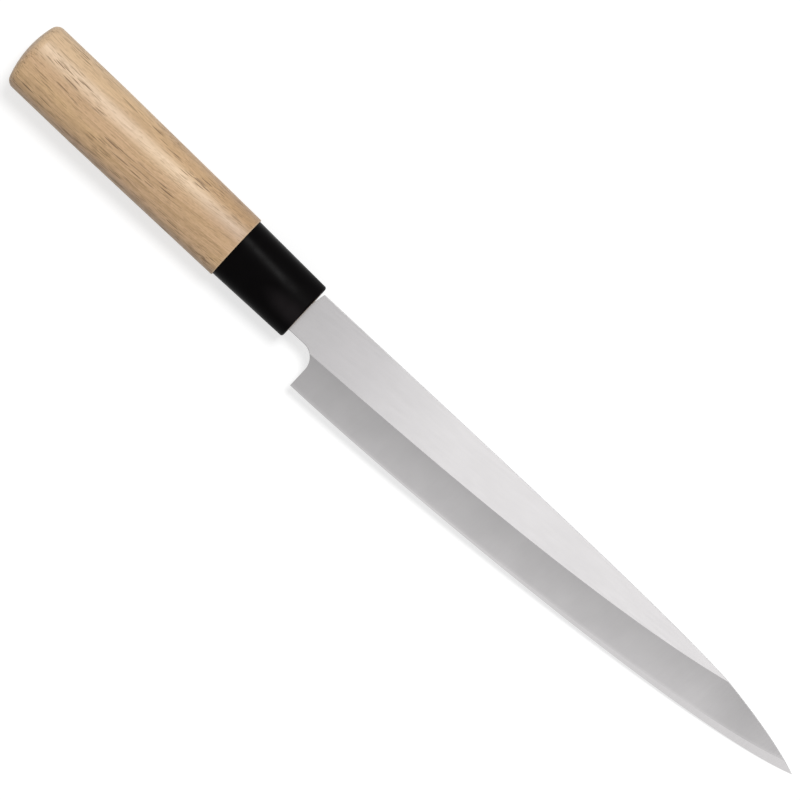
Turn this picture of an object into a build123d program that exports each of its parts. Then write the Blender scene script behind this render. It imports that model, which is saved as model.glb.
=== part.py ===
from build123d import *
import os
from math import atan2, degrees, sqrt

# A yanagiba, the long single-bevelled knife for slicing raw fish, as its three separate pieces:
# the blade with its tang, the ferrule and the wooden handle. All sizes are millimetres.
#
# The pieces are drawn in the knife's own axes. X runs along the straight spine to the tip, Y to
# the spine and Z out of the bevelled face. The ferrule's front face is at X = 0, the handle's
# centre line at Y = 0 and the blade's flat back at Z = 0. At the end the whole knife is laid on
# its back as it rests on a table, on the wood's lower edge at the ferrule and the blade's tip.

# Blade, seen square to its bevelled face
edge_length = 210.0  # straight from the heel to the tip
blade_height = 29.7  # from the heel to the spine
spine_rise = 8.8  # the straight spine, above the handle's centre line
tip_drop = 10.6  # the tip, below the straight spine
neck_length = 13.0  # from the ferrule's face to the heel
neck_drop = 7.7  # the neck's lower side, below the handle's centre line
choil_radius = 6.0  # the hollow between the neck and the heel
shoulder_gap = 1.0  # from the ferrule's face to the end of the spine
edge_along_shares = (0.0, 0.25, 0.838, 1.0)
edge_rise_shares = (0.0, 0.0, 0.369, 1.0)
spine_along_shares = (0.239, 0.704, 0.826)
spine_drop_shares = (0.0, 0.0, 0.229)
point_along_shares = (0.826, 0.943, 1.0)
point_drop_shares = (0.229, 0.56, 1.0)

# Blade, through its thickness
spine_thickness = 2.8  # at the ferrule
point_thickness = 1.8  # of the flat, as if it ran on over the tip
edge_thickness = 0.05  # left on the cutting edge
spine_edge_radius = 0.3  # along the spine's front corner
bevel_rise_shares = (0.407, 0.468, 0.589, 1.346)  # the line between flat and bevel
strip_width = 3.4  # of the narrow bevel along the edge, at the tip
strip_width_shares = (0.12, 0.15, 0.41, 1.0)
strip_thickness = 0.6  # where that bevel meets the wide one, at the tip
strip_thickness_shares = (0.33, 0.42, 0.8, 1.0)

# Hollow ground into the blade's back
hollow_radius = 260.0  # across the blade
hollow_rim = 1.6  # flat left along the spine and the edge
hollow_heel_gap = 5.0  # from the heel to the hollow's rounded end
hollow_run_in = 26.0  # length of that rounded end
hollow_tip_gap = 12.0
hollow_stations = 14

# Tang
tang_length = 85.0  # behind the ferrule's face
tang_rise = 3.9  # its upper side at the ferrule's face, above the centre line
tang_end_rise = 1.8
tang_end_drop = 4.2
tang_end_thickness = 2.0

# Ferrule
ferrule_length = 31.0
ferrule_wall = 2.0
ferrule_front_height = 21.8
ferrule_back_height = 23.15
ferrule_edge_break = 0.6  # chamfer round its front rim

# Handle
handle_length = 126.3  # from the ferrule's face to the butt
handle_front_height = 24.3
handle_swell_height = 25.75
handle_butt_height = 25.75
swell_share = 0.66  # where the swell lies, of the wood's length
butt_dome_radius = 36.0
butt_dome_rise = 0.9  # its centre, above the middle of the butt
butt_edge_radius = 3.2
arris_break = 0.35  # chamfer on the wood where it meets the ferrule

# Cross-section that ferrule and handle share: an oval drawn up to a soft ridge on its front
ferrule_front_depth = 10.3  # from the centre line to the corner that the ridge rounds
ferrule_back_depth = 10.8
handle_front_depth = 11.6
handle_swell_depth = 12.4
handle_butt_depth = 12.4
front_offset = 0.0  # the section's middle above the centre line, at the ferrule's face
butt_offset = 1.4
front_ridge = 2.6  # the ridge above the section's middle, at the ferrule's face
butt_ridge = 3.2
back_depth_share = 0.87  # the back's depth, of the front's
flank_share = 0.6  # the height at which the sides turn in to the ridge
ridge_round_share = 0.58  # where each side of the ridge starts to round
back_width_share = 0.74  # how far the flat of the back reaches out
back_side_share = 0.66  # how far the straight of the sides reaches back

# Fits
tang_clearance = 0.1
bore_clearance = 0.05

overrun = 5.0  # by which every cut passes clean through
run_on_share = 0.06  # by which a bevel's lines run on past the blade's ends, of their length

# Worked out from the sizes above
heel_rise = spine_rise - blade_height
tip_rise = spine_rise - tip_drop
edge_reach = sqrt(edge_length**2 - (tip_rise - heel_rise) ** 2)
tip_reach = neck_length + edge_reach
axis_depth = spine_thickness / 2


def along(share):
    """X at a share of the way from the heel to the tip."""
    return neck_length + edge_reach * share


def flat_height(x):
    """Z of the blade's flat front face, which falls evenly from the ferrule to the tip."""
    return spine_thickness + (point_thickness - spine_thickness) * x / tip_reach


def edge_points(thickness=0):
    """The cutting edge's control points, from the heel to the tip."""
    rise = tip_rise - heel_rise
    pairs = zip(edge_along_shares, edge_rise_shares)
    return [Vector(along(a), heel_rise + rise * b, thickness) for a, b in pairs]


def strip_points():
    """The line where the narrow bevel along the edge meets the wide one."""
    rows = zip(edge_points(), strip_width_shares, strip_thickness_shares)
    return [p + Vector(0, strip_width * w, strip_thickness * t) for p, w, t in rows]


def bevel_points():
    """The line where the wide bevel meets the flat. Past the point it runs on off the spine."""
    pairs = zip(edge_points(), bevel_rise_shares)
    return [Vector(p.X, heel_rise + blade_height * share, flat_height(p.X)) for p, share in pairs]


def dropped(along_shares, drop_shares):
    """Points below the straight spine, as shares of the edge's reach and of the tip's drop."""
    return [Vector(along(a), spine_rise - tip_drop * d, 0) for a, d in zip(along_shares, drop_shares)]


def blend(points, *shares):
    """Blends a curve's control points down to one, with one share for each step."""
    for share in shares:
        points = [a + (b - a) * share for a, b in zip(points, points[1:])]
    return points[0]


def run_on(points):
    """The control points of the same cubic, run on past both its ends."""
    before, after = -run_on_share, 1 + run_on_share
    return [blend(points, *[before] * (3 - k), *[after] * k) for k in range(4)]


def bevel_cut(low, high, width):
    """What a straight bevel between two lines takes off, run on past its ends and its sides."""
    low, high = run_on(low), run_on(high)
    beyond = overrun / width
    outer = [blend([a, b], -beyond) for a, b in zip(low, high)]
    inner = [blend([a, b], 1 + beyond) for a, b in zip(low, high)]
    surface = Face.make_surface_from_curves(Bezier(*outer), Bezier(*inner))
    return extrude(surface, amount=spine_thickness + overrun, dir=(0, 0, 1))


def face_inside(*pieces):
    """The flat face inside a closed chain of lines and curves."""
    return make_face([edge for piece in pieces for edge in piece.edges()])


def tang_corners(grow=0):
    """The tang's four corners seen from the front, made larger all round by grow."""
    back = -tang_length - grow
    return [
        (0, tang_rise + grow),
        (back, tang_end_rise + grow),
        (back, -tang_end_drop - grow),
        (0, -neck_drop - grow),
    ]


def blade_outline():
    """Blade and tang seen from the front, as one face."""
    upper, upper_end, lower_end, lower = tang_corners()
    spine = dropped(spine_along_shares, spine_drop_shares)
    point = dropped(point_along_shares, point_drop_shares)
    heel = edge_points()[0]
    arc_top = Vector(neck_length - choil_radius, -neck_drop)
    arc_end = Vector(neck_length, -neck_drop - choil_radius)
    return face_inside(
        Polyline(upper_end, upper, (shoulder_gap, spine_rise), spine[0]),
        Bezier(*spine),
        Bezier(*point),
        Bezier(*reversed(edge_points())),
        Line(heel, arc_end),
        TangentArc(arc_end, arc_top, tangent=(0, 1)),
        Polyline(arc_top, lower, lower_end, upper_end),
    )


def thickness_slab(grow=0):
    """All that lies between the back and the front of blade and tang, made thicker by grow.

    The back is flat as far as the shoulder, the front tapers to the tip, and the tang tapers
    on both sides.
    """
    tip, tang_end = tip_reach + overrun, -tang_length - grow
    half_end = tang_end_thickness / 2 + grow
    corners = Polyline(
        (tang_end, 0, axis_depth - half_end),
        (shoulder_gap, 0, -grow),
        (tip, 0, -grow),
        (tip, 0, flat_height(tip) + grow),
        (0, 0, spine_thickness + grow),
        (tang_end, 0, axis_depth + half_end),
        close=True,
    )
    return extrude(make_face(corners), amount=blade_height + overrun, dir=(0, 1, 0), both=True)


def span(outline, x):
    """The lowest and highest Y of the outline at X."""
    reach = blade_height + overrun
    crossing = outline & Line((x, -reach), (x, reach))
    box = crossing.bounding_box()
    return box.min.Y, box.max.Y


def hollow_section(outline, x):
    """One cross-section of the back's hollow: an arc sunk so far that it comes out at the rims."""
    low, high = span(outline, x)
    middle, half = (low + high) / 2, (high - low) / 2 - hollow_rim
    short = 1 - min((x - neck_length - hollow_heel_gap) / hollow_run_in, 1)
    depth = half**2 / (2 * hollow_radius) * (1 - short**2)
    reach = blade_height / 2
    outer = depth - hollow_radius + sqrt(hollow_radius**2 - reach**2)
    left, right = (x, middle - reach, outer), (x, middle + reach, outer)
    arc = ThreePointArc(left, (x, middle, depth), right)
    walls = Polyline(right, (x, middle + reach, -overrun), (x, middle - reach, -overrun), left)
    return face_inside(arc, walls)


def hollow_cut(outline):
    """The hollow of the back, as a broad wheel leaves it: rounded at the heel, fading to the tip."""
    start = neck_length + hollow_heel_gap / 2
    step = (tip_reach - hollow_tip_gap - start) / (hollow_stations - 1)
    return loft([hollow_section(outline, start + step * k) for k in range(hollow_stations)])


def blade():
    """Blade and tang in one piece: blanked, tapered, bevelled twice and hollowed behind."""
    outline = blade_outline()
    body = extrude(outline, amount=spine_thickness, dir=(0, 0, 1)) & thickness_slab()
    upward = body.faces().filter_by(GeomType.PLANE).filter_by(lambda face: face.normal_at().Z > 0)
    front = upward.sort_by(SortBy.AREA)[-1]
    body = fillet(front.edges().sort_by(Axis.Y)[-1], spine_edge_radius)
    body -= bevel_cut(strip_points(), bevel_points(), blade_height / 2)
    body -= bevel_cut(edge_points(edge_thickness), strip_points(), strip_width)
    return body - hollow_cut(outline)


def between(front, back, x, reach):
    """A size at X that changes evenly from the ferrule's face to the end of reach."""
    return front + (back - front) * -x / reach


def grip_section(x, height, depth):
    """The cross-section at X: an oval with a soft ridge on its front, above its middle."""
    offset = between(front_offset, butt_offset, x, handle_length)
    ridge = between(front_ridge, butt_ridge, x, handle_length)
    plane = Plane(origin=(x, offset, axis_depth), x_dir=(0, 1, 0), z_dir=(1, 0, 0))
    half, back = height / 2, depth * back_depth_share
    top, bottom, crown = Vector(half, 0), Vector(-half, 0), Vector(ridge, depth)
    upper, lower = Vector(half, depth * flank_share), Vector(-half, depth * flank_share)
    upper_turn = blend([upper, crown], ridge_round_share)
    lower_turn = blend([lower, crown], ridge_round_share)
    flat, side, rear = half * back_width_share, back * back_side_share, Vector(0, -back)
    outline = face_inside(
        Bezier(top, upper, upper_turn),
        Bezier(upper_turn, crown, lower_turn),
        Bezier(lower_turn, lower, bottom),
        Bezier(bottom, (-half, -side), (-flat, -back), rear),
        Bezier(rear, (flat, -back), (half, -side), top),
    )
    return plane * outline


def bore_section(clearance=0):
    """The oval that is bored through the ferrule, at its front face."""
    height = ferrule_front_height / 2 - ferrule_wall - clearance
    depth = ferrule_front_depth * back_depth_share - ferrule_wall - clearance
    plane = Plane(origin=(0, front_offset, axis_depth), x_dir=(0, 1, 0), z_dir=(1, 0, 0))
    return plane * Ellipse(height, depth)


def ferrule():
    """The collar that binds the end of the handle."""
    front = grip_section(0, ferrule_front_height, ferrule_front_depth)
    back = grip_section(-ferrule_length, ferrule_back_height, ferrule_back_depth)
    body = loft([front, back], ruled=True)
    body = chamfer(body.faces().sort_by(Axis.X)[-1].edges(), ferrule_edge_break)
    return body - extrude(bore_section(), amount=ferrule_length, dir=(-1, 0, 0))


def tang_hole():
    """The slot in the wood that the tang is driven into."""
    plan = make_face(Polyline(*tang_corners(tang_clearance), close=True))
    block = extrude(plan, amount=spine_thickness + overrun, dir=(0, 0, 1), both=True)
    return block & thickness_slab(tang_clearance)


def handle():
    """The wooden grip, with the tenon that fills the ferrule and the slot for the tang."""
    wood_length = handle_length - ferrule_length
    swell = -ferrule_length - wood_length * swell_share
    front = grip_section(-ferrule_length, handle_front_height, handle_front_depth)
    middle = grip_section(swell, handle_swell_height, handle_swell_depth)
    behind = grip_section(-handle_length - overrun, handle_butt_height, handle_butt_depth)
    grip = loft([front, middle, behind], ruled=True)
    grip = chamfer(grip.faces().sort_by(Axis.X)[-1].edges(), arris_break)
    centre = (butt_dome_radius - handle_length, butt_offset + butt_dome_rise, axis_depth)
    reach = butt_dome_radius + overrun
    waste = Pos(*centre) * Box(reach, 2 * reach, 2 * reach, align=(Align.MAX, Align.CENTER, Align.CENTER))
    grip -= waste - Pos(*centre) * Sphere(butt_dome_radius)
    grip = fillet(grip.faces().sort_by(Axis.X)[0].edges(), butt_edge_radius)
    tenon = extrude(bore_section(bore_clearance), amount=ferrule_length, dir=(-1, 0, 0))
    return grip + tenon - tang_hole()


def rest_angle():
    """How far the knife tips nose down to lie on the wood's edge at the ferrule and the tip."""
    wood_low = handle_front_depth * back_depth_share - axis_depth
    return degrees(atan2(wood_low, tip_reach + ferrule_length + arris_break))


def main():
    tipped = Rot(0, rest_angle(), 0)
    pieces = {"blade": tipped * blade(), "ferrule": tipped * ferrule(), "handle": tipped * handle()}
    box = Compound(list(pieces.values())).bounding_box()
    place = Pos(-box.center().X, -box.center().Y, -box.min.Z)
    os.makedirs("parts", exist_ok=True)
    for name, piece in pieces.items():
        export_step(place * piece, f"parts/{name}.step")
    back_face = place * tipped * Pos((neck_length + hollow_heel_gap) / 2, 0, 0)
    print("tilt", rest_angle())
    print("a point on the blade's back", back_face.position)
    print("origin of the knife's own axes", (place * tipped).position)


main()
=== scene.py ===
"""A yanagiba knife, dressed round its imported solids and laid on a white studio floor.

Shapes are worked out in the knife's own axes, in millimetres: X runs from the collar's front face
to the tip, Y to the spine and Z out of the bevelled face. A Placing carries them into the frame
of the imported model, in metres, where the knife lies on its back with its tip down.
"""

import logging
import math
from dataclasses import dataclass
from enum import Enum
from functools import reduce
from itertools import combinations

import bmesh
import bpy
import numpy as np
from mathutils import Matrix, Vector

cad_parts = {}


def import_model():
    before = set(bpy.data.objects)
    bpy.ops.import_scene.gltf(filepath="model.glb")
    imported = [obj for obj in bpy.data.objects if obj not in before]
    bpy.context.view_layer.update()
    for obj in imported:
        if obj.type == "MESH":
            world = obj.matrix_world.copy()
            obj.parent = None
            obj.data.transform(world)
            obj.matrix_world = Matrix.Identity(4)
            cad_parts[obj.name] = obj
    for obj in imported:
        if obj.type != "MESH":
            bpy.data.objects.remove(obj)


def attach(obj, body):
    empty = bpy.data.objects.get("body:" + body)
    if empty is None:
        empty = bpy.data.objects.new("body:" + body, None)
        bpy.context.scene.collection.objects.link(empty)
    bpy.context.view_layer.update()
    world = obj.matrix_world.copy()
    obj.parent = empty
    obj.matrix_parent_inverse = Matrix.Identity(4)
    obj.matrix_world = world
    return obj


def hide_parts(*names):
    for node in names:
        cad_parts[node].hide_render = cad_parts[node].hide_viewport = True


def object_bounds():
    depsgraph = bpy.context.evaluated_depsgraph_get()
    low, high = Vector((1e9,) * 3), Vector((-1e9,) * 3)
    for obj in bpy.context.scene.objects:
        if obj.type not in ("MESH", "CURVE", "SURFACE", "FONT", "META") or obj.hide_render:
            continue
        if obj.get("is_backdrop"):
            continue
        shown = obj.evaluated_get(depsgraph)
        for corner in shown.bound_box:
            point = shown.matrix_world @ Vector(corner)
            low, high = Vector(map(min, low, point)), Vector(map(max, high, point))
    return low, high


LOG = logging.getLogger("knife")
BODY = "root"
MM = 0.001  # metres in a millimetre
WELD = 1e-7  # points of a mesh that lie closer than this, in metres, become one
CREASE = math.radians(38)  # a sharper turn between two faces isn't smoothed
TINY = 1e-9  # keeps a division off zero
NEAR = 0.01  # millimetres by which two stations count as one
PAINTED_HIGHLIGHT = (0.80, 0.60, 0.40)  # linear colour of the painted highlights on the wood: along the ridge, on the upper side towards the butt and on the cut edge at the collar

Points = np.ndarray
Triple = tuple[float, float, float]
Colour = Triple
Span = tuple[float, float]
Socket = bpy.types.NodeSocket
Outputs = bpy.types.NodeOutputs


class Face(Enum):
    """The parts of the blade's surface, in the order of its material slots."""

    FLAT = 0
    BEVEL = 1
    STRIP = 2
    BACK = 3
    HOLLOW = 4
    SIDE = 5


GROUND = (Face.FLAT, Face.BEVEL, Face.STRIP)
MEETINGS = (*combinations(GROUND, 2), (Face.BACK, Face.HOLLOW))
CORNERS = tuple((face, Face.SIDE) for face in (*GROUND, Face.BACK))
CRISP = {frozenset((one.value, other.value)) for one, other in MEETINGS + CORNERS}


@dataclass(frozen=True)
class Placing:
    """How the knife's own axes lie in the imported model's frame.

    Attributes:
        tilt: turn about Y in radians, which drops the tip.
        origin: the knife's own origin in the frame, in metres.
    """

    tilt: float
    origin: Triple

    def to_frame(self, points: Points) -> Points:
        """Turns points about Y by the tilt, scales them to metres and moves them.

        Args:
            points: array of shape (..., 3) in the knife's own axes, in millimetres.

        Returns:
            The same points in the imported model's frame, in metres.
        """
        x, y, z = np.moveaxis(points, -1, 0)
        c, s = math.cos(self.tilt), math.sin(self.tilt)
        return np.stack([c * x + s * z, y, c * z - s * x], axis=-1) * MM + np.array(self.origin)

    def direction(self, x: float, y: float, z: float) -> Vector:
        """A direction of the knife's own axes, as a unit vector of the frame."""
        c, s = math.cos(self.tilt), math.sin(self.tilt)
        return Vector((c * x + s * z, y, c * z - s * x)).normalized()

    def point(self, x: float, y: float, z: float) -> Vector:
        """A point of the knife's own axes in millimetres, as a vector of the frame in metres."""
        return Vector(self.to_frame(np.array([x, y, z], float)))


def add(name: str, data: bpy.types.ID) -> bpy.types.Object:
    """Adds an object to the scene.

    Args:
        name: its name.
        data: its mesh, lamp or camera.

    Returns:
        The object, at the origin.
    """
    made = bpy.data.objects.new(name, data)
    bpy.context.scene.collection.objects.link(made)
    return made


def bezier(points: Points, t: Points) -> Points:
    """A Bezier curve of two to four control points, as sums of powers of t and 1 - t.

    Args:
        points: control points of shape (n, d).
        t: the curve's parameter, of any length. It may run past 0 and 1.

    Returns:
        The points of the curve, of shape (len(t), d).
    """
    n = len(points) - 1
    weights = [math.comb(n, k) * t**k * (1 - t) ** (n - k) for k in range(n + 1)]
    return np.stack(weights, axis=-1) @ np.asarray(points, float)


def smooth_ramp(x: Points, low: float, high: float) -> Points:
    """0 below low, 1 above high, and 3s squared less 2s cubed between them."""
    s = np.clip((x - low) / (high - low), 0, 1)
    return s * s * (3 - 2 * s)


@dataclass
class Skin:
    """A closed surface made of rings of points, each joined to the next.

    Attributes:
        rings: points of shape (stations, points in a ring, 3), in the knife's axes.
        faces: the finish of each strip between two points of a ring, or of each station.
        shares: a value per point that the finishes read as the attribute "share".
        loop_stations: whether the last ring is joined to the first one.
    """

    rings: Points
    faces: Points
    shares: Points
    loop_stations: bool = False

    def piece(
        self, name: str, placing: Placing, materials: list[bpy.types.Material]
    ) -> bpy.types.Object:
        """Makes the mesh object, with its doubles merged and its normals outward.

        Args:
            name: the object's name.
            placing: carries the points into the frame.
            materials: one material for each number in faces.

        Returns:
            The new object, at the origin, unturned and unscaled.
        """
        n, m, _ = self.rings.shape
        index = np.arange(n * m).reshape(n, m)
        start = index if self.loop_stations else index[:-1]
        after = np.roll(index, -1, axis=0) if self.loop_stations else index[1:]
        quads = np.stack([start, np.roll(start, -1, 1), np.roll(after, -1, 1), after], axis=-1)
        mesh = bpy.data.meshes.new(name)
        points = placing.to_frame(self.rings.reshape(-1, 3))
        mesh.from_pydata(points.tolist(), [], quads.reshape(-1, 4).tolist())
        slots = np.broadcast_to(self.faces, quads.shape[:2]).reshape(-1)
        mesh.polygons.foreach_set("material_index", slots.astype(np.int32))
        share = mesh.attributes.new("share", "FLOAT", "POINT")
        share.data.foreach_set("value", self.shares.reshape(-1).astype(np.float32))
        for material in materials:
            mesh.materials.append(material)
        self._finish(mesh)
        return add(name, mesh)

    def _finish(self, mesh: bpy.types.Mesh) -> None:
        """Merges doubles, closes the ends, turns the faces outward and marks the crisp lines.

        Args:
            mesh: the mesh, with its material slots set.
        """
        shape = bmesh.new()
        shape.from_mesh(mesh)
        bmesh.ops.remove_doubles(shape, verts=shape.verts, dist=WELD)
        bmesh.ops.holes_fill(shape, edges=shape.edges, sides=0)
        bmesh.ops.recalc_face_normals(shape, faces=shape.faces)
        for side in shape.faces:
            side.smooth = True
        for edge in shape.edges:
            if len(edge.link_faces) == 2:
                pair = frozenset(side.material_index for side in edge.link_faces)
                edge.smooth = pair not in CRISP and edge.calc_face_angle(0.0) < CREASE
        shape.to_mesh(mesh)
        shape.free()


@dataclass
class BladeShape:
    """The blade with its tang: flat, wide bevel, narrow bevel, hollowed back and eased spine.

    The tuples place the control points of cubic curves, as shares of the way from heel to tip, of
    the edge's rise, of a width, of a thickness, of the blade's height or of the tip's drop.

    Attributes:
        edge_length, height: straight from the heel to the tip, and from the heel to the spine.
        spine_rise, tip_drop: the spine above the handle's centre line, the tip below the spine.
        neck_length, neck_drop: from the collar to the heel, and below the centre line.
        choil_radius: the quarter circle between the neck and the heel.
        shoulder_gap: from the collar's front face to the end of the spine.
        edge_along, edge_rises: the cutting edge.
        spine_along, spine_drops, point_along, point_drops: where the spine starts to fall, and
            from there to the tip.
        strip_widths, strip_thicknesses: the narrow bevel, from the heel to the tip.
        bevel_rises: the line between the wide bevel and the flat. It ends above the tip.
        spine_thickness, point_thickness, edge_thickness: of the flat at the collar and at the
            tip, and of the cutting edge.
        spine_radius, back_radius: the rounding of the spine's front and back corner.
        spine_room, back_room: the most of the thickness there that each rounding takes.
        neck_radius, neck_fade: the rounding under the neck, and where it fades before the heel.
        strip_width, strip_thickness: of the narrow bevel, at the tip.
        hollow_radius, hollow_rim: of the wheel that hollowed the back, and the flat left round it.
        hollow_start, hollow_tip_gap: X of the hollow's start, and from its end to the tip.
        hollow_run_in, hollow_run_out: lengths of its two rounded ends.
        tang_length, tang_taper: behind the collar, and what each face falls away by there.
        tang_rise, tang_end_rise, tang_end_drop: its upper side at the collar, and both its
            sides at its end, from the centre line.
        run_on: how far the lines are worked out behind the heel, as a share of the edge.
        line_samples, curve_samples, arc_samples, crossing_samples: points that lines are
            worked out at.
        strip_columns, bevel_columns, flat_columns, rim_columns, corner_columns: faces across
            each part.
        counts: stations along the tang, shoulder, neck, choil and heel, then along the hollow:
            close ones, even ones, those to its end and those to the tip.
        close_run, even_end: how far the close stations run, and X where the even ones end.
    """

    edge_length: float = 210.0
    height: float = 29.7
    spine_rise: float = 8.8
    tip_drop: float = 10.6
    neck_length: float = 13.0
    neck_drop: float = 7.7
    choil_radius: float = 6.0
    shoulder_gap: float = 1.0
    edge_along: tuple = (0.0, 0.25, 0.838, 1.0)
    edge_rises: tuple = (0.0, 0.0, 0.369, 1.0)
    spine_along: tuple = (0.239, 0.704, 0.826)
    spine_drops: tuple = (0.0, 0.0, 0.229)
    point_along: tuple = (0.826, 0.943, 1.0)
    point_drops: tuple = (0.229, 0.56, 1.0)
    strip_widths: tuple = (0.12, 0.15, 0.41, 1.0)
    strip_thicknesses: tuple = (0.33, 0.42, 0.8, 1.0)
    bevel_rises: tuple = (0.407, 0.468, 0.589, 1.346)
    spine_thickness: float = 2.8
    point_thickness: float = 1.8
    edge_thickness: float = 0.05
    spine_radius: float = 0.16
    back_radius: float = 0.12
    spine_room: float = 0.4
    back_room: float = 0.3
    neck_radius: float = 0.18
    neck_fade: float = 1.5
    strip_width: float = 3.4
    strip_thickness: float = 0.6
    hollow_radius: float = 260.0
    hollow_rim: float = 1.6
    hollow_start: float = 18.0
    hollow_run_in: float = 26.0
    hollow_run_out: float = 9.0
    hollow_tip_gap: float = 12.0
    tang_length: float = 85.0
    tang_rise: float = 3.9
    tang_end_rise: float = 1.8
    tang_end_drop: float = 4.2
    tang_taper: float = 0.4
    run_on: float = 0.06
    line_samples: int = 4001
    curve_samples: int = 400
    arc_samples: int = 60
    crossing_samples: int = 6000
    strip_columns: int = 4
    bevel_columns: int = 14
    flat_columns: int = 12
    rim_columns: int = 3
    corner_columns: int = 4
    counts: tuple = (8, 7, 7, 18, 14, 26, 110, 20, 26)
    close_run: float = 7.0
    even_end: float = 195.0

    def __post_init__(self) -> None:
        """Works out the lines of the blade along X, at closely spaced stations."""
        self.heel_rise = self.spine_rise - self.height
        rise = self.height - self.tip_drop
        self.reach = math.sqrt(self.edge_length**2 - rise**2)
        self.tip = self.neck_length + self.reach
        t = np.linspace(-self.run_on, 1, self.line_samples)
        self.line_x = self._along(bezier(np.array(self.edge_along)[:, None], t)[:, 0])
        edge = self.heel_rise + rise * np.array(self.edge_rises)
        strip = edge + self.strip_width * np.array(self.strip_widths)
        thick = self.strip_thickness * np.array(self.strip_thicknesses)
        bevel = self.heel_rise + self.height * np.array(self.bevel_rises)
        self.lines = bezier(np.stack([edge, strip, thick, bevel], axis=-1), t).T
        self.top = self._upper_side()
        self.under = self._lower_side()

    def _along(self, share: Points) -> Points:
        """X at a share of the way from heel to tip."""
        return self.neck_length + self.reach * share

    def _dropped(self, along: tuple, drops: tuple) -> Points:
        """A curved part of the outline's upper side.

        Args:
            along: its control points, as shares of the way from heel to tip.
            drops: the same, as shares of the tip's drop below the straight spine.

        Returns:
            Points (X, Y) on the curve.
        """
        y = self.spine_rise - self.tip_drop * np.array(drops)
        points = np.stack([self._along(np.array(along)), y], axis=-1)
        return bezier(points, np.linspace(0, 1, self.curve_samples))

    def _upper_side(self) -> Points:
        """The outline's upper side: tang, shoulder, straight spine and its fall to the tip.

        Returns:
            Points (X, Y) from the tang's end to the tip.
        """
        tang = np.array([
            [-self.tang_length, self.tang_end_rise],
            [0.0, self.tang_rise],
            [self.shoulder_gap, self.spine_rise],
        ])
        spine = self._dropped(self.spine_along, self.spine_drops)
        return np.concatenate([tang, spine, self._dropped(self.point_along, self.point_drops)[1:]])

    def _lower_side(self) -> Points:
        """The outline's lower side: tang, neck and the quarter circle of the choil.

        Returns:
            Points (X, Y) from the tang's end to the choil's end above the heel.
        """
        tang = np.array([[-self.tang_length, -self.tang_end_drop], [0.0, -self.neck_drop]])
        turn = np.linspace(0, math.pi / 2, self.arc_samples)
        y = -self.neck_drop - self.choil_radius * (1 - np.cos(turn))
        return np.concatenate([tang, np.stack([self._choil_x(turn), y], axis=-1)])

    def _choil_x(self, turn: Points) -> Points:
        """X on the choil, after a turn from the neck's straight side."""
        return self.neck_length - self.choil_radius * (1 - np.sin(turn))

    def flat_z(self, x: Points) -> Points:
        """Z of the front's flat, which falls evenly to the tip, and over the tang to its end."""
        fall = (self.point_thickness - self.spine_thickness) * x / self.tip
        return self.spine_thickness + np.where(x < 0, self.tang_taper * x / self.tang_length, fall)

    def back_z(self, x: Points) -> Points:
        """Z of the flat back, which rises evenly over the tang to its end."""
        way = (self.shoulder_gap - x) / (self.tang_length + self.shoulder_gap)
        return self.tang_taper * np.clip(way, 0, 1)

    def _lines(self, x: Points) -> list[Points]:
        """The edge's Y, the strip line's Y and Z, and the bevel line's Y at X."""
        return [np.interp(x, self.line_x, line) for line in self.lines]

    def _crossings(self) -> list[float]:
        """X of the places where the bevel line and the strip line run off over the spine.

        Returns:
            The bevel line's place, then the strip line's.
        """
        x = np.linspace(self.neck_length, self.tip, self.crossing_samples + 2)[1:-1]
        _, strip, _, bevel = self._lines(x)
        top = np.interp(x, *self.top.T)
        limits = ((bevel, top - self.spine_radius), (strip, top))
        return [x[np.argmax(line > limit)] for line, limit in limits]

    def _stations(self) -> tuple[Points, Points, Points]:
        """X, lowest Y and highest Y of every station. At the heel several stand at one X.

        Returns:
            Three arrays of shape (stations, 1), from the tang's end to the tip.
        """
        tang, shoulder, neck, choil, heel, close, even, fade, point = self.counts
        choil_start = self.neck_length - self.choil_radius
        choil_low = -self.neck_drop - self.choil_radius
        hollow_end = self.tip - self.hollow_tip_gap
        before = np.concatenate([
            np.linspace(-self.tang_length, 0, tang)[:-1],
            np.linspace(0, self.shoulder_gap, shoulder),
            np.linspace(self.shoulder_gap, choil_start, neck)[1:],
            self._choil_x(np.linspace(0, math.pi / 2, choil))[1:-1],
        ])
        columns = self._columns(np.array([[self.neck_length]]))[0]
        steps = np.concatenate([[choil_low], columns[columns < choil_low][::-1]])
        after = np.unique(np.concatenate([
            np.linspace(self.neck_length, self.hollow_start, heel)[1:],
            self.hollow_start + self.close_run * np.linspace(0, 1, close) ** 2,
            np.linspace(self.hollow_start + self.close_run, self.even_end, even),
            np.linspace(self.even_end, hollow_end, fade),
            np.linspace(hollow_end, self.tip, point),
            self._crossings(),
        ]))
        x = np.concatenate([before, np.full(len(steps), self.neck_length), after])
        low = np.concatenate([np.interp(before, *self.under.T), steps, self._lines(after)[0]])
        return x[:, None], low[:, None], np.interp(x, *self.top.T)[:, None]

    def _columns(self, x: Points) -> Points:
        """Y of the front's columns, from the edge to the straight spine, whatever the outline.

        Args:
            x: X of each station, of shape (stations, 1).

        Returns:
            Y, of shape (stations, columns).
        """
        edge, strip, _, bevel = self._lines(x)
        return np.concatenate([
            edge + (strip - edge) * np.linspace(0, 1, self.strip_columns + 1)[:-1],
            strip + (bevel - strip) * np.linspace(0, 1, self.bevel_columns + 1)[:-1],
            bevel + (self.spine_rise - bevel) * np.linspace(0, 1, self.flat_columns + 1),
        ], axis=1)

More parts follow.
